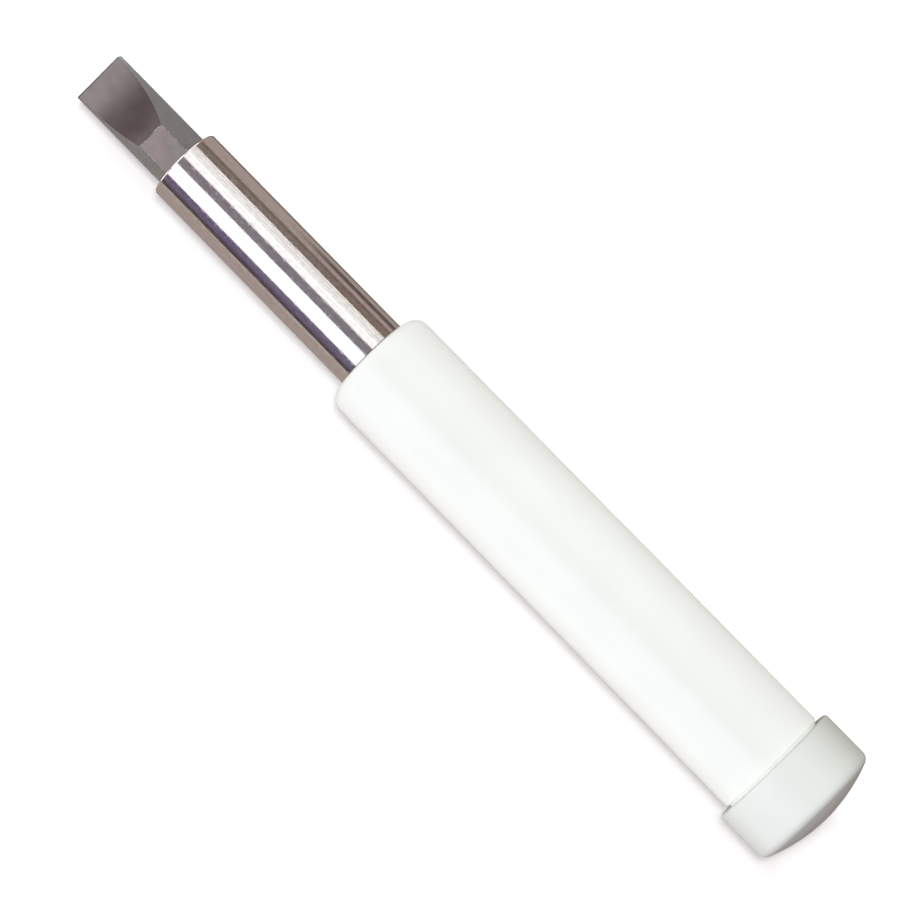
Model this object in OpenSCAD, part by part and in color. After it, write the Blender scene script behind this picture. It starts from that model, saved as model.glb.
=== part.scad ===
// Pocket screwdriver with a magnetic hexagon socket and spare bits in its handle.
// Every size is in millimetres. The tool lies along X with its blade towards +X,
// +Z is up, and the cap's rim touches Z = 0.

/* [Bits] */
// Width across the flats of every bit's hexagon
hex_af = 6.35; // [6.2:0.05:6.5]
// How far each corner of a bit's hexagon is rounded off
corner_trim = 0.04; // [0.02:0.01:0.1]
// Length of every bit
bit_len = 25; // [24:0.25:26]
// Chamfer round the rear end of every bit
rear_chamfer = 0.6; // [0.3:0.1:1]
// Distance from a bit's rear end to the middle of its corner notches
notch_up = 9.3; // [8.5:0.1:9.6]
// Depth of the corner notches
notch_depth = 0.37; // [0.2:0.01:0.44]
// Radius along the bottom of the corner notches
notch_round = 1.9; // [1.2:0.1:2.4]

/* [Blade in use] */
// Thickness of the blade at its tip
blade_t = 1.2; // [0.8:0.1:1.6]
// Length of the flat stretch behind the tip
blade_land = 1; // [0.5:0.1:3]
// Radius of the hollow-ground faces
grind_r = 17; // [10:0.5:20]
// Chamfer on the corners of the tip
tip_break = 0.2; // [0.1:0.05:0.5]

/* [Sleeve] */
// Wall of the sleeve at the corners of its hexagon socket
sleeve_wall = 1.04; // [0.9:0.02:1.6]
// Length of the sleeve that stands out of the handle
sleeve_out = 32; // [26:0.5:45]
// Length of the sleeve's tail inside the handle
sleeve_in = 16; // [12:0.5:20]
// Distance from the sleeve's mouth to the middle of the retaining ring
ring_in = 1.15; // [1:0.05:2]
// Clearance between a bit and each flat of the socket
socket_clear = 0.05; // [0.03:0.01:0.1]
// Rounding of the sleeve's outer edge at the mouth
mouth_round = 0.2; // [0.1:0.05:0.6]
// Lead-in chamfer inside the mouth
lead_in = 0.4; // [0.2:0.05:0.5]
// Diameter of the retaining ring's wire
ring_wire = 0.6; // [0.4:0.05:0.7]
// Angle of the opening in the retaining ring
ring_open = 55; // [30:5:90]
// Diameter of the magnet
magnet_d = 5; // [4:0.1:5.6]
// Thickness of the magnet
magnet_t = 3; // [2:0.1:4]

/* [Handle] */
// Length of the handle between the sleeve and the cap
barrel_len = 66.5; // [62:0.5:74]
// Wall of the handle round the sleeve, at its front
front_wall = 2.4; // [2:0.1:3.2]
// How much larger the handle's radius is at its rear than at its front
taper = 0.1; // [0:0.05:0.5]
// Rounding of the handle's front edge
front_round = 1.8; // [1:0.1:2.2]
// Rounding of the handle's rear edge
rear_round = 0.2; // [0.1:0.05:0.35]
// Length of the spigot that carries the cap
spigot_len = 5; // [4:0.1:8]
// How far the spigot is set in from the handle's surface
spigot_step = 0.4; // [0.35:0.05:0.6]
// Wall of the spigot round the storage tube
spigot_wall = 1.3; // [1:0.05:1.6]
// Number of guide ribs along the storage tube
rib_count = 6; // [3:1:6]
// Thickness of each guide rib
rib_t = 1; // [0.7:0.1:1.4]

/* [Cap] */
// Wall of the cap round the spigot
cap_wall = 1.5; // [1.2:0.1:2.5]
// Seam left open between the handle and the cap
cap_gap = 0.3; // [0.1:0.05:0.5]
// Thickness of the cap's end wall at its middle
cap_end_wall = 2.4; // [2.2:0.1:3]
// Radius of the cap's domed end
dome_r = 21; // [15:0.5:40]
// Rounding between the cap's side and its dome
shoulder_round = 1.1; // [0.5:0.1:2]
// Rounding of the cap's front edge
rim_round = 0.4; // [0.2:0.05:0.6]
// Thickness of the rubber pad inside the cap
pad_t = 1.2; // [0.8:0.1:2]

/* [Spare bits] */
// Neck diameter of the larger cross point
large_neck_d = 6; // [5.4:0.1:6.2]
// Neck diameter of the smaller cross point
small_neck_d = 4.5; // [4:0.1:5]
// Width of the narrow flat blade
narrow_blade_w = 4; // [3:0.1:5]
// Thickness of the narrow flat blade at its tip
narrow_blade_t = 0.8; // [0.5:0.1:1]
// Free play left at each end of every spare bit
end_play = 0.3; // [0.2:0.05:0.4]
// Clearance between a bit's corners and the guide ribs
rib_clear = 0.28; // [0.2:0.02:0.35]

/* [Hidden] */
$fn = 96;

// Overrun of every cut, and angles
cut = 1;
half_turn = 180;
quarter = 90;
full_turn = 360;
hex_sides = 6;
hex_turn = 30;

// Bits
hex_sharp_r = hex_af / 2 / cos(hex_turn);
corner_r = hex_sharp_r - corner_trim;
spare_count = 3;

// Points of the spare bits: angles of a cross point, and each one's own sizes
point_half_angle = 13.25;
flute_half_angle = 46;
flute_lean = 3;
cutter_share = 2.9;
large_neck_len = 1.5;
large_tip_d = 2.3;
large_root = 0.75;
small_neck_len = 4;
small_tip_d = 1.4;
small_root = 0.45;
neck_angle = 45;
narrow_neck_len = 8.5;
narrow_land = 0.8;
narrow_grind_r = 14;

// Sleeve: its tail is turned down, keyed by two flats and held by a groove
tail_step = 0.2;
tail_flat = 0.2;
tail_flat_len = 7;
tail_groove_w = 1.6;
tail_groove_t = 0.2;
tail_chamfer = 0.3;
shoulder_chamfer = 0.12;
seat_gap = 0.05;
press_gap = 0.02;
store_clear = 0.22;
store_lead = 0.25;
drill_half_angle = 59;
ring_clear = 0.05;
magnet_clear = 0.05;
magnet_chamfer = 0.2;
magnet_gap = 0.1;
socket_r = (hex_af / 2 + socket_clear) / cos(hex_turn);
socket_depth = notch_up + ring_in;
sleeve_r = socket_r + sleeve_wall;
sleeve_len = sleeve_in + sleeve_out;
tail_r = sleeve_r - tail_step;
store_r = corner_r + store_clear;
socket_floor = sleeve_len - socket_depth;
ring_up = socket_floor + notch_up;
ring_in_r = corner_r + ring_clear;
groove_r = ring_in_r + ring_wire + ring_clear;

// Handle
front_r = sleeve_r + front_wall;
rear_r = front_r + taper;
spigot_r = rear_r - spigot_step;
core_r = spigot_r - spigot_wall;
rib_in_r = corner_r + rib_clear;
rib_lead = 0.8;
crush_h = 0.12;
crush_w = 1;
crush_count = 6;
crush_lead = 0.6;
spigot_chamfer = 0.4;

// Cap
cap_fit = 0.03;
cap_bore_r = spigot_r + crush_h + cap_fit;
cap_bore_lead = 0.3;
cap_r = cap_bore_r + cap_wall;
pad_gap = 0.45;
cap_len = cap_end_wall + pad_t + pad_gap + spigot_len - cap_gap;
shoulder_x = cap_r - shoulder_round;
shoulder_up = dome_r - sqrt(pow(dome_r - shoulder_round, 2) - pow(shoulder_x, 2));
dome_reach = (dome_r + cut) / (dome_r - shoulder_up);
pad_clear = 0.6;
pad_chamfer = 0.2;

// Places along X, from the cap's end to the blade's tip
bit_out = bit_len - socket_depth + magnet_gap;
total_len = cap_len + cap_gap + barrel_len + sleeve_out + bit_out;
cap_end_x = -total_len / 2;
barrel_rear_x = cap_end_x + cap_len + cap_gap;
sleeve_rear_x = barrel_rear_x + barrel_len - sleeve_in;
bit_rear_x = total_len / 2 - bit_len;
pad_front_x = cap_end_x + cap_end_wall + pad_t;
store_end_x = pad_front_x + end_play + spare_count * (bit_len + end_play);
store_depth = store_end_x - sleeve_rear_x;
axis_z = cap_r;

// Lays a shape that stands along Z on the tool's axis, with its foot at x
module on_axis(x) {
    translate([x, 0, axis_z]) rotate([0, quarter, 0]) children();
}

// What a round takes off a convex corner at the origin of a body towards -x and -y
module round_off(r) {
    translate([-r, -r]) difference() {
        square(r + cut);
        circle(r);
    }
}

// Hexagonal prism standing on the origin, with flats across X
module hexagon_prism(r, h) {
    rotate([0, 0, hex_turn]) cylinder(h = h, r = r, $fn = hex_sides);
}

// A bit's hexagon trimmed to a turned outline, with the notches that the spring ring holds
module bit_blank() {
    difference() {
        intersection() {
            hexagon_prism(hex_sharp_r, bit_len);
            rotate_extrude() children();
        }
        translate([0, 0, notch_up]) rotate_extrude()
            translate([corner_r - notch_depth + notch_round, 0]) circle(notch_round);
    }
}

// Half outline of a bit that keeps its hexagon up to the tip
module straight_outline(tip_chamfer) {
    polygon([
        [0, 0], [corner_r - rear_chamfer, 0], [corner_r, rear_chamfer / 2],
        [corner_r, bit_len - tip_chamfer], [corner_r - tip_chamfer, bit_len], [0, bit_len]
    ]);
}

// Half outline of a bit with a turned neck and a point that narrows to the tip
module necked_outline(neck_r, neck_len, point_len, tip_r) {
    neck_start = bit_len - point_len - neck_len;
    polygon([
        [0, 0], [corner_r - rear_chamfer, 0], [corner_r, rear_chamfer / 2],
        [corner_r, neck_start - (corner_r - neck_r) / tan(neck_angle)], [neck_r, neck_start],
        [neck_r, bit_len - point_len], [tip_r, bit_len], [0, bit_len]
    ]);
}

// What a grinding wheel takes off both faces of a flat blade
module hollow_grind(thickness, land, radius, width) {
    for (side = [0, half_turn]) rotate([0, 0, side]) {
        translate([thickness / 2, -width / 2, bit_len - land]) cube([radius, width, land + cut]);
        translate([thickness / 2 + radius, 0, bit_len - land]) rotate([quarter, 0, 0])
            cylinder(h = width, r = radius, center = true);
    }
}

// The four flutes of a cross point, each cut by a milling wheel with a V-shaped rim
module flutes(root, neck_r) {
    wheel_r = cutter_share * 2 * neck_r;
    rim_depth = 2 * neck_r;
    rim_w = rim_depth * tan(flute_half_angle);
    for (turn = [quarter / 2 : quarter : full_turn]) rotate([0, 0, turn])
        translate([root + wheel_r * cos(flute_lean), 0, bit_len + wheel_r * sin(flute_lean)])
            rotate([quarter, 0, 0]) rotate_extrude() polygon([
                [0, -rim_w], [wheel_r - rim_depth, -rim_w], [wheel_r, 0],
                [wheel_r - rim_depth, rim_w], [0, rim_w]
            ]);
}

// Spare bit with a cross point
module phillips_bit(neck_d, neck_len, tip_d, root) {
    point_len = (neck_d - tip_d) / 2 / tan(point_half_angle);
    difference() {
        bit_blank() necked_outline(neck_d / 2, neck_len, point_len, tip_d / 2);
        flutes(root, neck_d / 2);
    }
}

// Half outline of the sleeve, from the end of its tail to its mouth
module sleeve_outline() {
    groove_low = tail_flat_len + tail_groove_w;
    difference() {
        polygon([
            [0, 0], [tail_r - tail_chamfer, 0], [tail_r, tail_chamfer], [tail_r, groove_low],
            [tail_r - tail_groove_t, groove_low], [tail_r - tail_groove_t, groove_low + tail_groove_w],
            [tail_r, groove_low + tail_groove_w], [tail_r, sleeve_in + seat_gap],
            [sleeve_r - shoulder_chamfer, sleeve_in + seat_gap],
            [sleeve_r, sleeve_in + seat_gap + shoulder_chamfer], [sleeve_r, sleeve_len], [0, sleeve_len]
        ]);
        translate([sleeve_r, sleeve_len]) round_off(mouth_round);
    }
}

// The space in the handle that is moulded round the sleeve's tail
module tail_seat() {
    groove_low = tail_flat_len + tail_groove_w;
    seat_r = tail_r + press_gap;
    intersection() {
        rotate_extrude() polygon([
            [0, -cut], [seat_r, -cut], [seat_r, groove_low + press_gap],
            [seat_r - tail_groove_t, groove_low + press_gap],
            [seat_r - tail_groove_t, groove_low + tail_groove_w - press_gap],
            [seat_r, groove_low + tail_groove_w - press_gap], [seat_r, sleeve_in + cut],
            [0, sleeve_in + cut]
        ]);
        union() {
            translate([-seat_r, tail_flat - seat_r, -cut])
                cube([2 * seat_r, 2 * (seat_r - tail_flat), sleeve_in + 2 * cut]);
            translate([0, 0, tail_flat_len]) cylinder(h = sleeve_in, r = seat_r + cut);
        }
    }
}

// Section of the storage tube: a round core with a rib facing each corner of the bits
module storage_section() {
    difference() {
        circle(core_r);
        for (i = [0 : rib_count - 1]) rotate(quarter + i * full_turn / rib_count)
            translate([rib_in_r, -rib_t / 2]) square([core_r, rib_t]);
    }
}

// Half outline of the handle, with its spigot below the origin
module barrel_outline() {
    difference() {
        polygon([
            [0, -spigot_len], [spigot_r - spigot_chamfer, -spigot_len],
            [spigot_r, spigot_chamfer - spigot_len], [spigot_r, 0],
            [rear_r, 0], [front_r, barrel_len], [0, barrel_len]
        ]);
        translate([front_r, barrel_len]) round_off(front_round);
        translate([rear_r, 0]) mirror([0, 1]) round_off(rear_round);
    }
}

// Half outline of the cap's outside, with the middle of its dome at the origin
module cap_outline() {
    difference() {
        translate([0, shoulder_up]) square([cap_r, cap_len - shoulder_up]);
        translate([cap_r, cap_len]) round_off(rim_round);
    }
    translate([shoulder_x, shoulder_up]) intersection() {
        circle(shoulder_round);
        translate([-shoulder_round, -shoulder_round]) square(2 * shoulder_round);
    }
    intersection() {
        translate([0, dome_r]) circle(dome_r);
        polygon([[0, shoulder_up], [shoulder_x, shoulder_up], [shoulder_x * dome_reach, -cut], [0, -cut]]);
    }
}

module handle_barrel() {
    color("#f6f9f6") on_axis(barrel_rear_x) {
        difference() {
            rotate_extrude() barrel_outline();
            translate([0, 0, barrel_len - sleeve_in]) tail_seat();
            translate([0, 0, -spigot_len - cut])
                linear_extrude(height = barrel_len - sleeve_in + spigot_len + cut) storage_section();
            translate([0, 0, -spigot_len])
                cylinder(h = rib_lead, r1 = core_r, r2 = rib_in_r);
        }
        for (i = [0 : crush_count - 1]) rotate([0, 0, i * full_turn / crush_count])
            crush_rib();
    }
}

// Low rib on the spigot that grips the cap's bore
module crush_rib() {
    intersection() {
        translate([0, 0, -spigot_len]) difference() {
            cylinder(h = spigot_len, r = spigot_r + crush_h);
            translate([0, 0, -cut]) cylinder(h = spigot_len + 2 * cut, r = spigot_r - crush_h);
        }
        translate([0, -crush_w / 2, crush_lead - spigot_len])
            cube([spigot_r + cut, crush_w, spigot_len - crush_lead]);
    }
}

module drive_sleeve() {
    color("#b4aaa4") on_axis(sleeve_rear_x) difference() {
        rotate_extrude() sleeve_outline();
        translate([0, 0, socket_floor]) hexagon_prism(socket_r, socket_depth + cut);
        translate([0, 0, sleeve_len - lead_in])
            cylinder(h = lead_in + cut, r1 = socket_r - lead_in, r2 = socket_r + cut);
        translate([0, 0, ring_up - ring_wire / 2 - ring_clear])
            cylinder(h = ring_wire + 2 * ring_clear, r = groove_r);
        translate([0, 0, socket_floor - magnet_t])
            cylinder(h = magnet_t + cut, r = magnet_d / 2 + magnet_clear);
        translate([0, 0, -cut]) cylinder(h = store_depth + cut, r = store_r);
        translate([0, 0, store_depth])
            cylinder(h = store_r / tan(drill_half_angle), r1 = store_r, r2 = 0);
        translate([0, 0, -cut])
            cylinder(h = cut + store_lead, r1 = store_r + cut + store_lead, r2 = store_r);
        for (side = [0, half_turn]) rotate([0, 0, side])
            translate([-sleeve_r, tail_r - tail_flat, -cut])
                cube([2 * sleeve_r, tail_flat + cut, tail_flat_len + cut]);
    }
}

module retaining_ring() {
    color("#8f9095") on_axis(sleeve_rear_x + ring_up)
        rotate([0, 0, ring_open / 2]) rotate_extrude(angle = full_turn - ring_open)
            translate([ring_in_r + ring_wire / 2, 0]) circle(ring_wire / 2);
}

module bit_magnet() {
    magnet_r = magnet_d / 2;
    color("#a9abae") on_axis(sleeve_rear_x + socket_floor - magnet_t) rotate_extrude() polygon([
        [0, 0], [magnet_r - magnet_chamfer, 0], [magnet_r, magnet_chamfer],
        [magnet_r, magnet_t - magnet_chamfer], [magnet_r - magnet_chamfer, magnet_t], [0, magnet_t]
    ]);
}

module slotted_bit() {
    color("#86807d") on_axis(bit_rear_x) difference() {
        bit_blank() straight_outline(tip_break);
        hollow_grind(blade_t, blade_land, grind_r, 2 * hex_af);
    }
}

// Foot of a spare bit in the storage tube, counted from the cap
function spare_x(i) = pad_front_x + end_play + i * (bit_len + end_play);

module phillips_bit_large() {
    color("#7d7a7c") on_axis(spare_x(2))
        phillips_bit(large_neck_d, large_neck_len, large_tip_d, large_root);
}

module phillips_bit_small() {
    color("#7d7a7c") on_axis(spare_x(1))
        phillips_bit(small_neck_d, small_neck_len, small_tip_d, small_root);
}

module slotted_bit_small() {
    neck_r = narrow_blade_w / 2;
    color("#7d7a7c") on_axis(spare_x(0)) difference() {
        bit_blank() necked_outline(neck_r, narrow_neck_len, tip_break, neck_r - tip_break);
        hollow_grind(narrow_blade_t, narrow_land, narrow_grind_r, 2 * hex_af);
    }
}

module end_cap() {
    color("#e6e7e2") on_axis(cap_end_x) difference() {
        rotate_extrude() cap_outline();
        translate([0, 0, cap_end_wall]) cylinder(h = cap_len, r = cap_bore_r);
        translate([0, 0, cap_len - cap_bore_lead])
            cylinder(h = cap_bore_lead + cut, r1 = cap_bore_r, r2 = cap_bore_r + cap_bore_lead + cut);
    }
}

module cap_pad() {
    pad_r = cap_bore_r - pad_clear;
    color("#2f3032") on_axis(cap_end_x + cap_end_wall) rotate_extrude() polygon([
        [0, 0], [pad_r, 0], [pad_r, pad_t - pad_chamfer], [pad_r - pad_chamfer, pad_t], [0, pad_t]
    ]);
}

handle_barrel();
drive_sleeve();
retaining_ring();
bit_magnet();
slotted_bit();
phillips_bit_large();
phillips_bit_small();
slotted_bit_small();
end_cap();
cap_pad();
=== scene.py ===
"""Looks of the pocket screwdriver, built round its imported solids, in metres and in the frame of the part."""
import math

import bmesh
import bpy
from mathutils import Matrix, Vector


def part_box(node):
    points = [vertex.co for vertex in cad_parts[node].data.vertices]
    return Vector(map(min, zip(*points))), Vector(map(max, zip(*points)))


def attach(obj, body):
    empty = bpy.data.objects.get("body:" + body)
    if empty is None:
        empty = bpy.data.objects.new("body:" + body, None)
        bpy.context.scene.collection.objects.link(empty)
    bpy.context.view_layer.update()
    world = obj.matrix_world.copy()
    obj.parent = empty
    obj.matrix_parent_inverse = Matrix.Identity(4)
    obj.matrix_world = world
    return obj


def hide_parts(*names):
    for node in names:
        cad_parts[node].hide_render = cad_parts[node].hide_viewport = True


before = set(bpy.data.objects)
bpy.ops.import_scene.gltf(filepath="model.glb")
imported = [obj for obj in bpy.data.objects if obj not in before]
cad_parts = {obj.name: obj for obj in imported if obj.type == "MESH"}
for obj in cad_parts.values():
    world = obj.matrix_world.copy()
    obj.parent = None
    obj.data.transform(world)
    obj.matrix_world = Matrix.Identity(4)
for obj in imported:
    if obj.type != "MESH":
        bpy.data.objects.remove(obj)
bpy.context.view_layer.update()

MM = 0.001
MICRON = 1e-6
AXIS_Z = sum(corner.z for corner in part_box("end_cap")) / 2
HANDLE_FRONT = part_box("handle_barrel")[1].x


# Shader nodes


class Nodes:
    """The nodes of one shader tree. An input takes a constant, or the output of another node."""

    def __init__(self, tree, coordinate):
        self.tree = tree
        self.coords = self.node("TexCoord").outputs
        self.place = self.coords[coordinate]

    def join(self, value, socket):
        if isinstance(value, bpy.types.NodeSocket):
            self.tree.links.new(value, socket)
        else:
            socket.default_value = value

    def node(self, kind, inputs=(), **settings):
        made = self.tree.nodes.new("ShaderNode" + kind)
        for key, value in settings.items():
            setattr(made, key, value)
        for key, value in dict(inputs).items():
            self.join(value, made.inputs[key])
        return made

    def parts(self, vector):
        return self.node("SeparateXYZ", {0: vector}).outputs

    def noise(self, scale=1.0, detail=3.0, stretch=(1, 1, 1), shift=(0, 0, 0), rough=0.5):
        """Noise with scale times stretch features to the metre along X, Y and Z. Its mean is about a half."""
        placed = self.node("Mapping", {"Vector": self.place, "Scale": stretch, "Location": shift})
        made = self.node("TexNoise", {
            "Vector": placed.outputs[0], "Scale": scale, "Detail": detail, "Roughness": rough})
        return made.outputs["Fac"]

    def span(self, value, low, high, to_low, to_high, smooth=False):
        """The stretch of a value from low to high turned into to_low to to_high, and held there beyond."""
        made = self.node("MapRange", {
            "Value": value, "From Min": low, "From Max": high, "To Min": to_low, "To Max": to_high},
            interpolation_type="SMOOTHSTEP" if smooth else "LINEAR")
        return made.outputs["Result"]

    def spread(self, noise, to_low=0, to_high=1, half=0.2):
        """The part of a noise that lies within half of its mean, turned into to_low to to_high."""
        return self.span(noise, 0.5 - half, 0.5 + half, to_low, to_high)

    def math(self, operation, a, b=0.0):
        return self.node("Math", {0: a, 1: b}, operation=operation).outputs[0]

    def blend(self, share, a, b):
        made = self.node("Mix", {"Factor": share}, data_type="RGBA")
        for key, value in (("A", a), ("B", b)):
            self.join(value, next(s for s in made.inputs if s.name == key and s.type == "RGBA"))
        return next(s for s in made.outputs if s.type == "RGBA")

    def ramp(self, turn, stops):
        """Colours by angle: turn runs from 0 to 1 where the stops' angles run from -90 to 90 degrees."""
        made = self.node("ValToRGB", {0: turn})
        elements = made.color_ramp.elements
        while len(elements) < len(stops):
            elements.new(0.5)
        for element, (angle, colour) in zip(elements, stops):
            element.position, element.color = (angle + 90) / 180, colour + (1.0,)
        return made.outputs["Color"]

    def glow(self, kind, **inputs):
        return self.node(kind, inputs).outputs[0]

    def mix_shaders(self, share, a, b):
        return self.node("MixShader", {0: share, 1: a, 2: b}).outputs[0]

    def add_shaders(self, a, b):
        return self.node("AddShader", {0: a, 1: b}).outputs[0]


class Shade(Nodes):
    """One procedural material: a Principled shader and its textures, in the part's own coordinates."""

    def __init__(self, name, **values):
        self.material = bpy.data.materials.new(name)
        self.material.use_nodes = True
        super().__init__(self.material.node_tree, "Object")
        self.normal = self.coords["Normal"]
        self.shader = self.tree.nodes["Principled BSDF"]
        for key, value in values.items():
            self.shader.inputs[key.replace("_", " ")].default_value = value

    def feed(self, socket, value):
        self.tree.links.new(value, self.shader.inputs[socket])

    def bump(self, height, distance, normal=None):
        inputs = {"Height": height, "Distance": distance, "Strength": 1.0}
        if normal is not None:
            inputs["Normal"] = normal
        return self.node("Bump", inputs).outputs["Normal"]


def grey(value, tint=(1, 1, 1)):
    return tuple(value * t for t in tint) + (1.0,)


# Plastics and rubber


PLASTIC_IOR = 1.5
CLOUD_SCALE, CLOUD_HALF = 90, 0.15
GLOSS_SCALE, GLOSS_WANDER = 400, 0.04
PEEL_HEIGHT = 0.6 * MICRON
GRAIN_SCALE, GRAIN_HEIGHT = 2200, 8 * MICRON


def white_plastic(name, dark, light, rough, peel, chalk, shift=(0, 0, 0)):
    """Moulded plastic: a faint cloudiness, an orange-peel surface and a gloss that wanders a little."""
    shade = Shade(name, IOR=PLASTIC_IOR, Diffuse_Roughness=chalk)
    cloud = shade.noise(CLOUD_SCALE, detail=4, shift=shift)
    shade.feed("Base Color", shade.blend(shade.spread(cloud, half=CLOUD_HALF), dark, light))
    gloss = shade.noise(GLOSS_SCALE, shift=shift)
    shade.feed("Roughness", shade.spread(gloss, rough - GLOSS_WANDER, rough + GLOSS_WANDER))
    shade.feed("Normal", shade.bump(shade.noise(peel, detail=2, shift=shift), PEEL_HEIGHT))
    return shade.material


def handle_plastic():
    return white_plastic("handle_plastic_finish", dark=grey(0.9, (0.985, 1.017, 0.99)),
                         light=grey(0.92, (0.98, 1.017, 0.985)), rough=0.36, peel=1500, chalk=1.0)


def cap_plastic():
    return white_plastic("cap_plastic_finish", dark=grey(0.81, (0.985, 1.045, 1.0)),
                         light=grey(0.84, (0.98, 1.045, 0.995)), rough=0.42, peel=1300, chalk=0.0,
                         shift=(0.3, 0.1, 0.2))


def pad_rubber():
    shade = Shade("pad_rubber_finish", IOR=PLASTIC_IOR)
    grain = shade.noise(GRAIN_SCALE)
    shade.feed("Base Color", shade.blend(shade.spread(grain), grey(0.022), grey(0.034, (1, 1, 1.05))))
    shade.feed("Roughness", shade.spread(grain, 0.62, 0.78))
    shade.feed("Normal", shade.bump(grain, GRAIN_HEIGHT))
    return shade.material


# Chrome


CHROME_DARK, CHROME_LIGHT = grey(0.71, (1.0, 0.965, 0.945)), grey(0.825, (1.0, 0.98, 0.97))
FILM_STRETCH, FILM_HALF = (1300, 2600, 2600), 0.16
# A dark band painted on the chrome where it enters the handle: painted shade of the gap there, with grime.
SEAM_SHADE_AND_GRIME, SEAM_SHADE_AND_GRIME_SHARE = grey(0.08, (1.0, 0.85, 0.75)), 0.75
SEAM_SHADE_AND_GRIME_FULL, SEAM_SHADE_AND_GRIME_END = HANDLE_FRONT + 0.05 * MM, HANDLE_FRONT + 0.2 * MM
PIT_SCALE, PIT_STRETCH, PIT_DULLNESS, PIT_DEPTH = 3400, (0.6, 1, 1), 0.16, 1.2 * MICRON
PITS_FROM, PITS_FULL = 0.5, 0.7
HAZE_SCALE, HAZE_STRETCH, HAZE_LOW, HAZE_HIGH = 160, (0.3, 1, 1), 0.045, 0.085
LINE_STRETCH, LINE_HEIGHT = (25, 2200, 2200), 1.6 * MICRON
WAVE_STRETCH, WAVE_HEIGHT = (600, 1500, 1500), 2.6 * MICRON
RIPPLE_STRETCH, RIPPLE_HEIGHT = (700, 250, 250), 7 * MICRON


def chrome():
    """Chrome on a drawn tube: draw lines, a wavy polish, fine pits, and a dark band where it enters the
    handle, painted shade of the gap there with grime.
    """
    shade = Shade("chromed_steel_finish", Metallic=1.0)
    film = shade.spread(shade.noise(detail=4, stretch=FILM_STRETCH), half=FILM_HALF)
    plate = shade.blend(film, CHROME_DARK, CHROME_LIGHT)
    along = shade.parts(shade.place)["X"]
    # Painted shade of the gap at the handle, with grime: the chrome darkens within 0.2 mm of the handle.
    seam_shade_and_grime = shade.span(along, SEAM_SHADE_AND_GRIME_FULL, SEAM_SHADE_AND_GRIME_END, SEAM_SHADE_AND_GRIME_SHARE, 0, smooth=True)
    shade.feed("Base Color", shade.blend(seam_shade_and_grime, plate, SEAM_SHADE_AND_GRIME))
    specks = shade.noise(PIT_SCALE, detail=2, stretch=PIT_STRETCH)
    pits = shade.span(specks, PITS_FROM, PITS_FULL, 0, 1, smooth=True)
    haze = shade.spread(shade.noise(HAZE_SCALE, detail=4, stretch=HAZE_STRETCH), HAZE_LOW, HAZE_HIGH)
    shade.feed("Roughness", shade.math("ADD", haze, shade.math("MULTIPLY", pits, PIT_DULLNESS)))
    lines = shade.bump(shade.noise(stretch=LINE_STRETCH), LINE_HEIGHT)
    waves = shade.bump(shade.noise(detail=2, stretch=WAVE_STRETCH), WAVE_HEIGHT, normal=lines)
    ripples = shade.bump(shade.noise(detail=2, stretch=RIPPLE_STRETCH), RIPPLE_HEIGHT, normal=waves)
    shade.feed("Normal", shade.bump(pits, -PIT_DEPTH, normal=ripples))
    return shade.material


# Steels


# Lit and shaded copies of the steel: the darker, warmer pair for faces turned up or down, the lighter pair for
# the sides.
GROUND_SHADED_DARK, GROUND_SHADED_LIGHT = grey(0.24, (1.0, 0.94, 0.9)), grey(0.295, (1.0, 0.85, 0.81))
DRAWN_LIT_DARK, DRAWN_LIT_LIGHT = grey(0.43, (0.91, 1.07, 1.13)), grey(0.5, (0.94, 1.06, 1.1))
# Light steel painted on edges, part chipped wear and part painted highlight; and the dark line along the
# blade's tip.
WEAR_AND_SHEEN_STEEL, TIP_LINE = grey(0.92, (1.0, 0.98, 0.96)), grey(0.05)
STAIN_SCALE, STAIN_ROUGH = 330, 0.6
BROAD_FROM, BROAD_FULL = 0.6, 0.8  # a face's normal along Z: from the sides, painted lighter, to faces turned up or down, painted in shade
CHIP_SCALE, CHIPS_FROM, CHIPS_FULL, CHIPS_LEAST = 2600, 0.5, 0.62, 0.12
TIP_LINE_FROM, TIP_LINE_FULL, TIP_LINE_SHARE = -0.3, -1, 0.9
DULL_SCALE, DULL_LOW, DULL_HIGH = 700, 0.2, 0.3
GROUND_DULLNESS, WORN_DULLNESS = 0.1, 0.4
GRINDING_HEIGHT = 1.0 * MICRON
METAL_DARKER, METAL_TINT = 0.92, (1.0, 0.99, 0.97)
METAL_WANDER, METAL_HEIGHT = 0.1, 0.8 * MICRON


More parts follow.
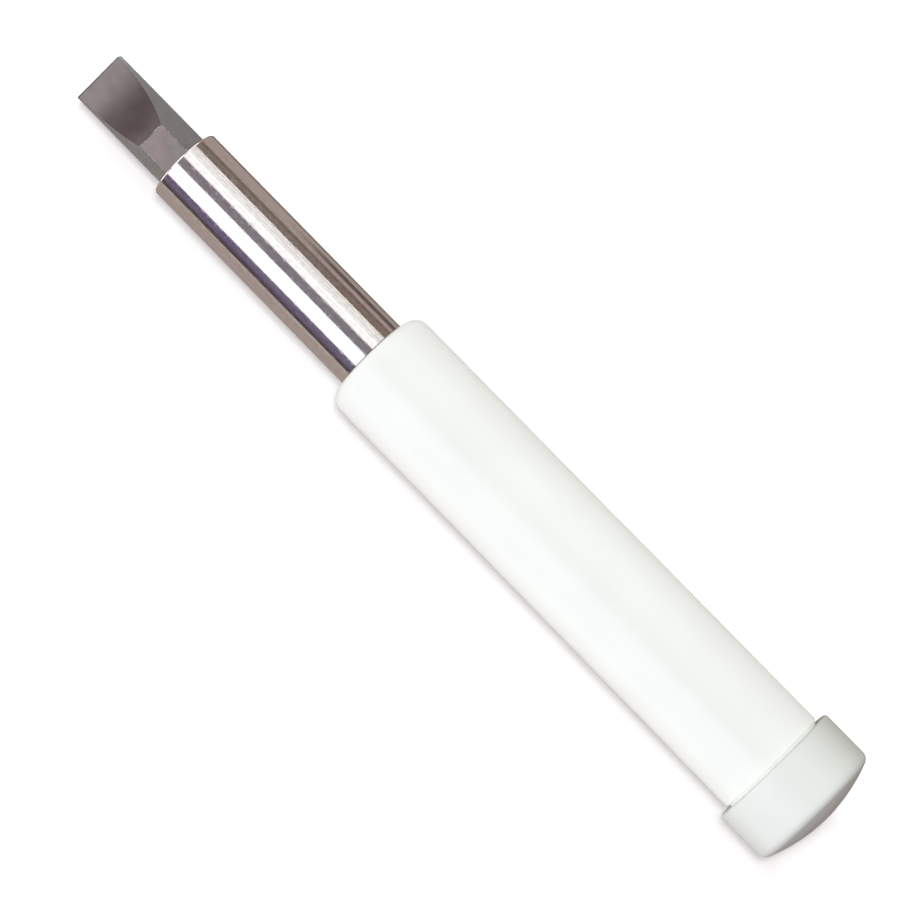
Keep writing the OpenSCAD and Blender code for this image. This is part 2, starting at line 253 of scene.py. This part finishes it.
def bit_steel(name, stretch):
    """Cloudy tool steel with fine grinding lines, and painted shade by facing: faces turned up or down are
    painted darker and warmer than the sides, and are duller; on the blade they are also the ground faces.

    Where a mesh carries the edge tone that make_bit sets, its edges are painted light, part chipped wear
    and part painted highlight, or below zero a dark line.
    """
    shade = Shade(name, Metallic=1.0)
    stain = shade.spread(shade.noise(STAIN_SCALE, detail=5, rough=STAIN_ROUGH))
    # Painted shade by facing: faces turned up or down take the darker, warmer colour, the sides the lighter
    # one.
    ground = shade.blend(stain, GROUND_SHADED_DARK, GROUND_SHADED_LIGHT)
    drawn = shade.blend(stain, DRAWN_LIT_DARK, DRAWN_LIT_LIGHT)
    upward = shade.math("ABSOLUTE", shade.parts(shade.normal)["Z"])
    broad = shade.span(upward, BROAD_FROM, BROAD_FULL, 0, 1, smooth=True)
    # Edges painted light by the mesh's edge tone: chipped wear, and a painted highlight along edges that catch
    # the light.
    edge = shade.node("Attribute", attribute_name="sheen_and_wear").outputs["Fac"]
    specks = shade.noise(CHIP_SCALE, detail=2)
    chips = shade.span(specks, CHIPS_FROM, CHIPS_FULL, CHIPS_LEAST, 1, smooth=True)
    edge_sheen_and_wear = shade.math("MULTIPLY", shade.math("MAXIMUM", edge, 0.0), chips)
    steel = shade.blend(edge_sheen_and_wear, shade.blend(broad, drawn, ground), WEAR_AND_SHEEN_STEEL)
    line = shade.span(edge, TIP_LINE_FROM, TIP_LINE_FULL, 0, TIP_LINE_SHARE)
    shade.feed("Base Color", shade.blend(line, steel, TIP_LINE))
    dull = shade.math("ADD", shade.math("MULTIPLY", broad, GROUND_DULLNESS),
                      shade.math("MULTIPLY", edge_sheen_and_wear, WORN_DULLNESS))
    rough = shade.spread(shade.noise(DULL_SCALE, detail=4), DULL_LOW, DULL_HIGH)
    shade.feed("Roughness", shade.math("ADD", rough, dull))
    shade.feed("Normal", shade.bump(shade.noise(stretch=stretch), GRINDING_HEIGHT))
    return shade.material


def plain_metal(name, tone, rough, scale=1.0, stretch=(1, 1, 1)):
    shade = Shade(name, Metallic=1.0)
    cloud = shade.noise(scale, stretch=stretch)
    darker, lighter = grey(tone * METAL_DARKER), grey(tone, METAL_TINT)
    shade.feed("Base Color", shade.blend(shade.spread(cloud), darker, lighter))
    shade.feed("Roughness", shade.spread(cloud, rough, rough + METAL_WANDER))
    shade.feed("Normal", shade.bump(cloud, METAL_HEIGHT))
    return shade.material


def spring_steel():
    return plain_metal("spring_steel_finish", tone=0.5, rough=0.22, stretch=(300, 3000, 3000))


def magnet_plating():
    return plain_metal("plated_magnet_finish", tone=0.62, rough=0.2, scale=900)


SPARE_STEEL = bit_steel("bit_steel_spare_finish", stretch=(60, 4200, 4200))
FINISHES = {
    "handle_barrel": handle_plastic(),
    "end_cap": cap_plastic(),
    "cap_pad": pad_rubber(),
    "drive_sleeve": chrome(),
    "slotted_bit": bit_steel("bit_steel_finish", stretch=(60, 5200, 900)),
    "phillips_bit_large": SPARE_STEEL,
    "phillips_bit_small": SPARE_STEEL,
    "slotted_bit_small": SPARE_STEEL,
    "retaining_ring": spring_steel(),
    "bit_magnet": magnet_plating(),
}
for node, finish in FINISHES.items():
    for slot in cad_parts[node].material_slots:
        slot.material = finish


# Pieces with finer edges than the solids


SHARP_ANGLE = math.radians(28)
LOOP = 0.03 * MM  # how far from an edge the rings lie that keep the faces beside it flat


def new_piece(mesh, finish):
    """An object with the mesh's name, smooth but for its sharp edges."""
    mesh.shade_smooth()
    mesh.set_sharp_from_angle(angle=SHARP_ANGLE)
    mesh.materials.append(finish)
    piece = bpy.data.objects.new(mesh.name, mesh)
    bpy.context.scene.collection.objects.link(piece)
    return piece


# The bit in use, with the edges that grinding leaves


LOW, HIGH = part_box("slotted_bit")
BIT_REAR, BIT_TIP = LOW.x, HIGH.x
HALF_FLAT, TURNED = (HIGH.z - LOW.z) / 2, HIGH.y
SLANT = math.radians(30)
BAR_EDGE = 0.26 * MM
FLAT_EDGE = 0.1 * MM
GROUND_EDGE, START_EDGE, START_RUN = 0.05 * MM, 0.1 * MM, 0.36 * MM
TIP_EDGE = 0.15 * MM
TIP_SKEW = 0.16 * MM
GRIND_EDGE = 0.3 * MM
REAR_CHAMFER, REAR_RUN = 0.6 * MM, 0.3 * MM
NOTCH_X, NOTCH_DEPTH, NOTCH_ROUND = BIT_TIP - 15.7 * MM, 0.37 * MM, 1.9 * MM
LAND, HALF_BLADE, GRIND_R = 1.0 * MM, 0.6 * MM, 17 * MM
TIP_CHAMFER = 0.2 * MM
SHARP_CORNER = 0.7  # the share of the tip's chamfer that the corner on the +Y side goes without
# Tones painted on edges and faces: light ones are part wear, part painted highlight; TIP_DARK paints the dark
# line along the tip.
BAR_SHEEN_AND_WEAR, START_SHEEN_AND_WEAR, TIP_DARK = 0.4, 0.6, -1.0
SIDE_STEPS, EDGE_STEPS, NOTCH_STEPS, GRIND_STEPS = 3, 5, 8, 20


def arc(centre_y, centre_z, radius, start, end, steps):
    angles = [start + (end - start) * i / steps for i in range(steps + 1)]
    return [(centre_y + radius * math.cos(a), centre_z + radius * math.sin(a)) for a in angles]


def quarter(thick, turned, edge, inset):
    """A quarter of the bit's section, as (y, z) from its axis: upper face, upper edge, slanted flat, side."""
    flat, thick, edge = HALF_FLAT - inset, thick - inset, max(edge - inset, LOOP / 4)
    corner_y = (flat - thick * math.sin(SLANT)) / math.cos(SLANT)
    if turned < TURNED:
        turned -= inset
        bite = math.acos(min(1.0, flat / turned))
        side = arc(0, 0, turned, SLANT - bite, 0, SIDE_STEPS)
    else:
        side = arc((flat - BAR_EDGE) / math.cos(SLANT), 0, BAR_EDGE, SLANT, 0, SIDE_STEPS)
    if turned < TURNED and math.hypot(corner_y, thick) > turned:
        upper = arc(0, 0, turned, math.asin(thick / turned), SLANT + bite, EDGE_STEPS)
    else:
        centre_y = (flat - edge - (thick - edge) * math.sin(SLANT)) / math.cos(SLANT)
        upper = arc(centre_y, thick - edge, edge, math.pi / 2, SLANT, EDGE_STEPS)
    along_y, along_z = side[0][0] - upper[-1][0], side[0][1] - upper[-1][1]
    share = LOOP / math.hypot(along_y, along_z)
    slope = [(upper[-1][0] + along_y * s, upper[-1][1] + along_z * s) for s in (share, 1 - share)]
    return [(0, thick), (upper[0][0] - LOOP, thick)] + upper + slope + side


def around(points):
    """A whole turn from a quarter's points, each (y, z, wear)."""
    def mirrored(some, sign_y, sign_z):
        return [(y * sign_y, z * sign_z, sheen_and_wear) for y, z, sheen_and_wear in some]
    return (points + mirrored(points[-2::-1], 1, -1) + mirrored(points[1:], -1, -1)
            + mirrored(points[-2:0:-1], -1, 1))


def ring(x, thick, turned, edge, inset=0.0, edge_sheen_and_wear=0.0, crest=0.0):
    """One section of the bit as (x, y, z, tone): the last two arguments are the tones of its edges and of its
    faces.

    A tone above zero paints light, part chipped wear and part painted highlight; below zero it is the dark
    line along the blade's tip.
    """
    sheen_and_wear = ([crest] * 2 + [max(edge_sheen_and_wear, crest)] * (EDGE_STEPS + 1)
            + [min(edge_sheen_and_wear, 0.0)] * 2 + [edge_sheen_and_wear] * (SIDE_STEPS + 1))
    skew = TIP_SKEW * max(0.0, (x - (BIT_TIP - LAND)) / LAND)
    points = around([(y, z, w) for (y, z), w in zip(quarter(thick, turned, edge, inset), sheen_and_wear)])
    return [(x - skew * (1 - y / TURNED) / 2, y, AXIS_Z + z, w) for y, z, w in points]


def bar_rings():
    """The rear of the bit: a chamfered end, and a bar with a notch turned into its corners."""
    full = HALF_FLAT + LOOP
    inner = full - (TURNED - REAR_CHAMFER)
    rings = [ring(BIT_REAR, HALF_FLAT, full, FLAT_EDGE, inner),
             ring(BIT_REAR + REAR_RUN * inner / REAR_CHAMFER, HALF_FLAT, full, FLAT_EDGE),
             ring(BIT_REAR + REAR_RUN, HALF_FLAT, TURNED, FLAT_EDGE)]
    notch_half = math.sqrt(NOTCH_ROUND ** 2 - (NOTCH_ROUND - NOTCH_DEPTH) ** 2)
    for i in range(-NOTCH_STEPS, NOTCH_STEPS + 1):
        dx = notch_half * i / NOTCH_STEPS
        rise = NOTCH_ROUND - NOTCH_DEPTH - math.sqrt(NOTCH_ROUND ** 2 - dx ** 2)
        rings.append(ring(NOTCH_X + dx, HALF_FLAT, TURNED + min(rise, 0.0), FLAT_EDGE, edge_sheen_and_wear=BAR_SHEEN_AND_WEAR))
    return rings


def ground_rings():
    """The hollow-ground part: a rounded start, then the wheel's arc, down to the blade's land."""
    run = math.sqrt(GRIND_R ** 2 - (GRIND_R + HALF_BLADE - HALF_FLAT) ** 2)
    slope = math.asin(run / GRIND_R)
    tangent = GRIND_EDGE * math.tan(slope / 2)
    start_x = BIT_TIP - LAND - run - tangent
    rings = [ring(start_x - START_RUN, HALF_FLAT, TURNED, FLAT_EDGE, edge_sheen_and_wear=BAR_SHEEN_AND_WEAR),
             ring(start_x - LOOP, HALF_FLAT, TURNED, START_EDGE, edge_sheen_and_wear=START_SHEEN_AND_WEAR)]
    # The rounding where the grind starts, painted light along its middle: a painted highlight, with some wear.
    for i in range(EDGE_STEPS + 1):
        a = slope * i / EDGE_STEPS
        rings.append(ring(start_x + GRIND_EDGE * math.sin(a), HALF_FLAT - GRIND_EDGE * (1 - math.cos(a)),
                          TURNED, GROUND_EDGE, crest=math.sin(math.pi * i / EDGE_STEPS)))
    first = run - tangent * math.cos(slope) - LOOP
    for i in range(GRIND_STEPS + 1):
        s = first * (1 - i / GRIND_STEPS)
        thick = HALF_BLADE + GRIND_R - math.sqrt(GRIND_R ** 2 - s ** 2)
        rings.append(ring(BIT_TIP - LAND - s, thick, TURNED, GROUND_EDGE))
    return rings


def tip_rings():
    """The chamfered and rounded end of the blade, sharper at its corner on the +Y side."""
    narrow = TURNED - TIP_CHAMFER
    tip = [ring(BIT_TIP - TIP_EDGE - LOOP, HALF_BLADE, narrow + TIP_EDGE + LOOP, GROUND_EDGE)]
    for i in range(EDGE_STEPS + 1):
        a = math.pi / 2 * i / EDGE_STEPS
        back = TIP_EDGE * (1 - math.sin(a))
        tip.append(ring(BIT_TIP - back, HALF_BLADE, narrow + back, GROUND_EDGE,
                        TIP_EDGE * (1 - math.cos(a)), edge_sheen_and_wear=TIP_DARK, crest=TIP_DARK))
    rings = [ring(BIT_TIP - TIP_CHAMFER - LOOP, HALF_BLADE, TURNED, GROUND_EDGE)]
    for section in tip:
        crisp = 1 + SHARP_CORNER * (TURNED / max(point[1] for point in section) - 1)
        rings.append([(x, y * crisp if y > 0 else y, z, sheen_and_wear) for x, y, z, sheen_and_wear in section])
    return rings


def make_bit():
    rings = bar_rings() + ground_rings() + tip_rings()
    turn = len(rings[0])
    faces = [(i * turn + j, i * turn + (j + 1) % turn, (i + 1) * turn + (j + 1) % turn, (i + 1) * turn + j)
             for i in range(len(rings) - 1) for j in range(turn)]
    faces += [tuple(range(turn - 1, -1, -1)), tuple(range((len(rings) - 1) * turn, len(rings) * turn))]
    points = [point for section in rings for point in section]
    mesh = bpy.data.meshes.new("ground_bit")
    mesh.from_pydata([point[:3] for point in points], [], faces)
    # The painted tone of each point: light edges, part wear and part painted highlight, and the dark tip line.
    sheen_and_wear = mesh.attributes.new("sheen_and_wear", "FLOAT", "POINT")
    sheen_and_wear.data.foreach_set("value", [point[3] for point in points])
    shaped = bmesh.new()
    shaped.from_mesh(mesh)
    bmesh.ops.recalc_face_normals(shaped, faces=shaped.faces)
    shaped.to_mesh(mesh)
    shaped.free()
    bit = new_piece(mesh, FINISHES["slotted_bit"])
    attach(bit, "working_bit")
    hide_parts("slotted_bit")


make_bit()


# The sleeve, with the crisp edge turned on its mouth


SLEEVE_R, MOUTH_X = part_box("drive_sleeve")[1].y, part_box("drive_sleeve")[1].x
MOUTH_ROUND = 0.2 * MM  # the solid's rounding, whose place the bevel takes
BEVEL = 0.14 * MM
BEVEL_ROUND = 0.04 * MM
BEVEL_ANGLE = math.radians(39)
BEVEL_START, BEVEL_END = 0.45, 0.9
WELD = 0.0001 * MM
SLACK = 0.003 * MM


def turned_edge(share):
    """(x, radius) on the mouth's outer edge, from the sleeve's side at share 0 to its end face at share 1."""
    angle = BEVEL_ANGLE * min(1.0, share / BEVEL_START)
    round_x = MOUTH_X - BEVEL - BEVEL_ROUND * math.sin(BEVEL_ANGLE)
    run = BEVEL * max(0.0, min(1.0, (share - BEVEL_START) / (BEVEL_END - BEVEL_START)))
    return (round_x + BEVEL_ROUND * math.sin(angle) + run,
            SLEEVE_R - BEVEL_ROUND * (1 - math.cos(angle)) - run * math.tan(BEVEL_ANGLE))


def make_sleeve():
    """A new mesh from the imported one's points, with those of the mouth's rounding set on the bevel."""
    turned = bmesh.new()
    turned.from_mesh(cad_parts["drive_sleeve"].data)
    bmesh.ops.remove_doubles(turned, verts=turned.verts, dist=WELD)
    turned.verts.index_update()
    for vert in turned.verts:
        y, z = vert.co.y, vert.co.z - AXIS_Z
        radius = math.hypot(y, z)
        ahead = vert.co.x - (MOUTH_X - MOUTH_ROUND)
        if ahead > -SLACK and radius > SLEEVE_R - MOUTH_ROUND - SLACK:
            share = math.asin(max(0.0, min(1.0, ahead / MOUTH_ROUND))) / (math.pi / 2)
            x, new = turned_edge(share)
            vert.co = (x, y * new / radius, AXIS_Z + z * new / radius)
    mesh = bpy.data.meshes.new("bright_sleeve")
    mesh.from_pydata([vert.co[:] for vert in turned.verts], [],
                     [[vert.index for vert in face.verts] for face in turned.faces])
    turned.free()
    sleeve = new_piece(mesh, FINISHES["drive_sleeve"])
    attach(sleeve, "handle")
    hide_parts("drive_sleeve")


make_sleeve()


# The camera, fitted to the photo


IMAGE = 900
SENSOR = 36.0
FOCAL_PX = 3984.8
DISTANCE = 0.46736
LEAN_X, LEAN_Y, ROLL = -0.073237, -0.170170, 0.783918
TARGET = Vector((0.000236, 0.0012535, 0.0085))
CLIP_NEAR, CLIP_FAR = 0.01, 50


def make_camera():
    upright = math.cos(LEAN_X)
    back = Vector((math.sin(LEAN_X), math.sin(LEAN_Y) * upright, upright * math.cos(LEAN_Y)))
    right = Vector((math.sin(ROLL), -math.cos(ROLL), 0)).cross(back).normalized()
    turn = Matrix((right, back.cross(right), back)).transposed().to_4x4()
    data = bpy.data.cameras.new("photo_camera")
    data.sensor_width, data.lens = SENSOR, FOCAL_PX / IMAGE * SENSOR
    data.clip_start, data.clip_end = CLIP_NEAR, CLIP_FAR
    camera = bpy.data.objects.new("photo_camera", data)
    camera.matrix_world = Matrix.Translation(TARGET + DISTANCE * back) @ turn
    bpy.context.scene.collection.objects.link(camera)
    bpy.context.scene.camera = camera


make_camera()


# The paper that the tool lies on


FLOOR_HALF, FLOOR_DROP = 3.0, 0.02 * MM
PAPER_SEEN = grey(0.97, (1.0, 1.0, 0.98))

# What the metal mirrors of the paper, painted on it: taupe, darker far off, painted shade under the tool, and
# a painted dark stripe that the metal shows as a streak.
PAPER_NEAR = (0.42, 0.345, 0.31, 1.0)
PAPER_FAR = (0.18, 0.138, 0.117, 1.0)
PAINTED_STREAK = (0.12, 0.09, 0.075, 1.0)
FAR_Y = -48 * MM, -80 * MM
UNDER_Y, UNDER_SHADE_SHARE = (8 * MM, 10.5 * MM), 0.7
STRIPE_OUTER_Y, STRIPE_INNER_Y, STRIPE_X = (-31 * MM, -23 * MM), (-16.5 * MM, -13.5 * MM), (26 * MM, 36 * MM)

# The glow that keeps the paper white beside, beyond and round the tool, but not in its shadow.
GLOW, GLOW_Y = 0.42, (-4 * MM, 4 * MM)
SHADOW_GLOW, SHADOW_Y = 0.35, (4 * MM, 13 * MM)
HANDLE_REACH, HANDLE_REACH_X = 3.5 * MM, (12 * MM, 16 * MM)
CAP_REACH, CAP_REACH_X = 1.5 * MM, (-54 * MM, -50 * MM)
TIP_GLOW_X, CAP_GLOW_X = (61.5 * MM, 63.2 * MM), (-67 * MM, -60 * MM)
WHITE_DISTANCE = 0.15, 0.4
AHEAD_GLOW, AHEAD_X, AHEAD_Y = 2.3, (64 * MM, 70 * MM), (50 * MM, 70 * MM)
MIRRORED_GLOW = 0.04


def mirrored_paper(shade, parts, off_axis):
    far = shade.span(parts["Y"], *FAR_Y, 0, 1, smooth=True)
    # Painted shade under the tool, which the metal mirrors.
    under_shade = shade.span(off_axis, *UNDER_Y, UNDER_SHADE_SHARE, 0, smooth=True)
    paper = shade.blend(shade.math("MAXIMUM", far, under_shade), PAPER_NEAR, PAPER_FAR)
    # A painted dark stripe beside the tool, which the metal mirrors as a dark streak.
    painted_streak = shade.math("MULTIPLY", shade.span(parts["Y"], *STRIPE_OUTER_Y, 0, 1, smooth=True),
                        shade.span(parts["Y"], *STRIPE_INNER_Y, 1, 0, smooth=True))
    painted_streak = shade.math("MULTIPLY", painted_streak, shade.span(parts["X"], *STRIPE_X, 1, 0, smooth=True))
    return shade.blend(painted_streak, paper, PAINTED_STREAK)


def paper_glow(shade, parts):
    """The glow over the paper. The shadow, on the +Y side, reaches further beside the handle and the cap."""
    beside = shade.span(parts["Y"], *GLOW_Y, GLOW, 0.0, smooth=True)
    reach = shade.math("ADD", shade.span(parts["X"], *HANDLE_REACH_X, HANDLE_REACH, 0),
                       shade.span(parts["X"], *CAP_REACH_X, CAP_REACH, 0))
    beyond = shade.math("SUBTRACT", parts["Y"], reach)
    beside = shade.math("ADD", beside, shade.span(beyond, *SHADOW_Y, 0.0, SHADOW_GLOW))
    ends = shade.math("ADD", shade.span(parts["X"], *TIP_GLOW_X, 0, GLOW, smooth=True),
                      shade.span(parts["X"], *CAP_GLOW_X, GLOW, 0, smooth=True))
    distance = shade.node("VectorMath", {0: shade.place}, operation="LENGTH").outputs["Value"]
    return shade.math("MAXIMUM", shade.math("MAXIMUM", beside, ends),
                      shade.span(distance, *WHITE_DISTANCE, 0, 1))


def paper():
    """Plain white paper to look at. Mirrors see it in the studio's tones, with a small share of its glow."""
    shade = Shade("floor_finish", Roughness=1.0, Specular_IOR_Level=0.0)
    rays = shade.node("LightPath").outputs
    parts = shade.parts(shade.place)
    off_axis = shade.math("ABSOLUTE", parts["Y"])
    seen = shade.math("ADD", rays["Is Camera Ray"], rays["Is Transmission Ray"])
    shade.feed("Base Color", shade.blend(seen, mirrored_paper(shade, parts, off_axis), PAPER_SEEN))
    ahead = shade.math("MULTIPLY", shade.span(parts["X"], *AHEAD_X, 0, AHEAD_GLOW),
                       shade.span(off_axis, *AHEAD_Y, 1, 0))
    mirrored = shade.math("MULTIPLY", rays["Is Glossy Ray"], shade.math("ADD", ahead, MIRRORED_GLOW))
    strength = shade.math("MULTIPLY", shade.math("ADD", seen, mirrored), paper_glow(shade, parts))
    total = shade.add_shaders(shade.shader.outputs[0], shade.glow("Emission", Strength=strength))
    shade.join(total, shade.tree.nodes["Material Output"].inputs["Surface"])
    return shade.material


def make_floor():
    half = FLOOR_HALF
    corners = [(-half, -half, 0), (half, -half, 0), (half, half, 0), (-half, half, 0)]
    mesh = bpy.data.meshes.new("floor")
    mesh.from_pydata(corners, [], [(0, 1, 2, 3)])
    mesh.materials.append(paper())
    floor = bpy.data.objects.new("floor", mesh)
    floor.location.z = -FLOOR_DROP
    bpy.context.scene.collection.objects.link(floor)


make_floor()


# The studio round the tool


# Its colours by the angle from straight up towards +Y, in degrees, and the soft strips on its end walls.
ROOM = [
    (-90, (0.28, 0.215, 0.19)), (-72, (0.22, 0.17, 0.155)), (-40, (0.27, 0.24, 0.25)),
    (0, (0.265, 0.235, 0.275)), (40, (0.21, 0.165, 0.26)), (68, (0.167, 0.13, 0.212)),
    (73, (0.095, 0.07, 0.075)), (81, (0.095, 0.07, 0.075)),
    (84, (0.52, 0.44, 0.395)), (90, (0.52, 0.44, 0.395)),
]
DARK, STRIP_MINUS_Y, STRIP_PLUS_Y = (0.0, 0.0, 0.0), (0.9, 0.9, 0.88), (0.8, 0.8, 0.8)
STRIPS = [
    (-64, DARK), (-61, STRIP_MINUS_Y), (-40, STRIP_MINUS_Y), (-37, DARK),
    (45, DARK), (48, STRIP_PLUS_Y), (62, STRIP_PLUS_Y), (65, DARK),
]
END_WALL = (0.278, 0.222, 0.248, 1)
WHITE = (1, 1, 1, 1)
# Where the room turns into the wall ahead of the blade, and where the strips begin, as a direction's X.
WALL_X, STRIPS_X = (0.3, 0.7), (0.38, 0.5)
MOTTLE_STRETCH, MOTTLE_HALF = (70, 9, 9), 0.15
SATURATION_LOW, SATURATION_HIGH = 0.2, 1.7


def make_world():
    """A white background to look at, and a dim studio round the lamps for the metal to mirror."""
    world = bpy.data.worlds.new("studio")
    bpy.context.scene.world = world
    world.use_nodes = True
    world.node_tree.nodes.clear()
    studio = Nodes(world.node_tree, "Generated")
    rays = studio.node("LightPath").outputs
    parts = studio.parts(studio.place)
    turn = studio.span(studio.math("ARCTAN2", parts["Y"], parts["Z"]), -math.pi / 2, math.pi / 2, 0, 1)
    mottle = studio.spread(studio.noise(detail=1.0, stretch=MOTTLE_STRETCH),
                           SATURATION_LOW, SATURATION_HIGH, half=MOTTLE_HALF)
    tinted = studio.node("HueSaturation", {"Saturation": mottle, "Color": studio.ramp(turn, ROOM)})
    room = studio.glow("Background", Color=tinted.outputs["Color"])
    walls = studio.mix_shaders(studio.span(parts["X"], *WALL_X, 0, 1), room,
                               studio.glow("Background", Color=END_WALL))
    near_end = studio.span(studio.math("ABSOLUTE", parts["X"]), *STRIPS_X, 0, 1)
    strips = studio.glow("Background", Color=studio.ramp(turn, STRIPS),
                         Strength=studio.math("MULTIPLY", near_end, rays["Is Glossy Ray"]))
    seen = studio.math("MAXIMUM", rays["Is Camera Ray"], rays["Is Transmission Ray"])
    surface = studio.mix_shaders(seen, studio.add_shaders(walls, strips),
                                 studio.glow("Background", Color=WHITE))
    studio.join(surface, studio.node("OutputWorld").inputs["Surface"])


make_world()


# Lamps


# A bank's lamps lie side by side, each with its start and end in degrees and its radiance.
BANK_MINUS_Y = [
    (-71, -66, 0.9), (-66, -62.5, 0.64), (-62.5, -57, 0.9), (-57, -54, 0.64), (-54, -48, 0.88),
    (-48, -44.5, 0.78), (-44.5, -37, 1.25), (-37, -34, 0.9), (-34, -26.5, 1.1), (-26.5, -22, 0.95),
]
BANK_PLUS_Y = [(3.7, 25, 1.32), (25, 46, 1.32)]
FILL_MINUS_Y = [(-88, -72, 1.5)]
FILL_PLUS_Y = [(66, 77, 2.3), (77, 88, 6.6)]
BANK_DISTANCE, FILL_DISTANCE = 0.55, 0.62
BANK_LONG, BANK_X = 0.5, 0.09
CARD_X, CARD_Z, CARD_WIDE, CARD_HIGH = 0.6, 0.035, 0.6, 0.07


def soft_box(name, place, long, wide, radiance, tint, mirrored):
    """A soft rectangular lamp that shines along its own -Z."""
    data = bpy.data.lights.new(name, "AREA")
    data.shape, data.size, data.size_y = "RECTANGLE", long, wide
    data.energy = radiance * math.pi * long * wide
    data.color = tint
    box = bpy.data.objects.new(name, data)
    box.matrix_world = place
    box.visible_glossy = mirrored
    bpy.context.scene.collection.objects.link(box)
    return box


def lamp(name, angle, distance, centre_x, long, wide, radiance, tint, mirrored):
    """A lamp over the tool, turned angle degrees from straight up towards +Y, facing the tool's axis."""
    place = Matrix.Translation((centre_x, 0, AXIS_Z)) @ Matrix.Rotation(-math.radians(angle), 4, "X")
    soft_box(name, place @ Matrix.Translation((0, 0, distance)), long, wide, radiance, tint, mirrored)


def lamp_bank(name, lamps, tint, distance=BANK_DISTANCE, mirrored=True):
    for i, (start, end, radiance) in enumerate(lamps):
        wide = 2 * distance * math.tan(math.radians(end - start) / 2)
        lamp(f"{name}_{i}", (start + end) / 2, distance, BANK_X, BANK_LONG, wide, radiance, tint, mirrored)


def make_end_card():
    """A card ahead of the blade for the metal to mirror, which lights nothing itself."""
    place = Matrix.Translation((CARD_X, 0, CARD_Z)) @ Matrix.Rotation(math.pi / 2, 4, "Y")
    card = soft_box("end_card", place, long=CARD_HIGH, wide=CARD_WIDE, radiance=1.4,
                    tint=(1.0, 0.96, 0.95), mirrored=True)
    card.visible_diffuse = False


lamp_bank("bank_minus_y", BANK_MINUS_Y, tint=(0.985, 1.0, 0.98))
lamp_bank("bank_plus_y", BANK_PLUS_Y, tint=(0.99, 1.0, 0.985))
lamp_bank("fill_plus_y", FILL_PLUS_Y, tint=(0.965, 1.0, 0.965), distance=FILL_DISTANCE, mirrored=False)
lamp_bank("fill_minus_y", FILL_MINUS_Y, tint=(0.97, 1.0, 0.955), distance=FILL_DISTANCE, mirrored=False)
lamp("key", angle=-13, distance=0.6, centre_x=-0.03, long=0.06, wide=0.06, radiance=125,
     tint=(0.985, 1.0, 0.98), mirrored=False)
make_end_card()


# View transform


bpy.context.scene.view_settings.view_transform = "Standard"
bpy.context.view_layer.update()
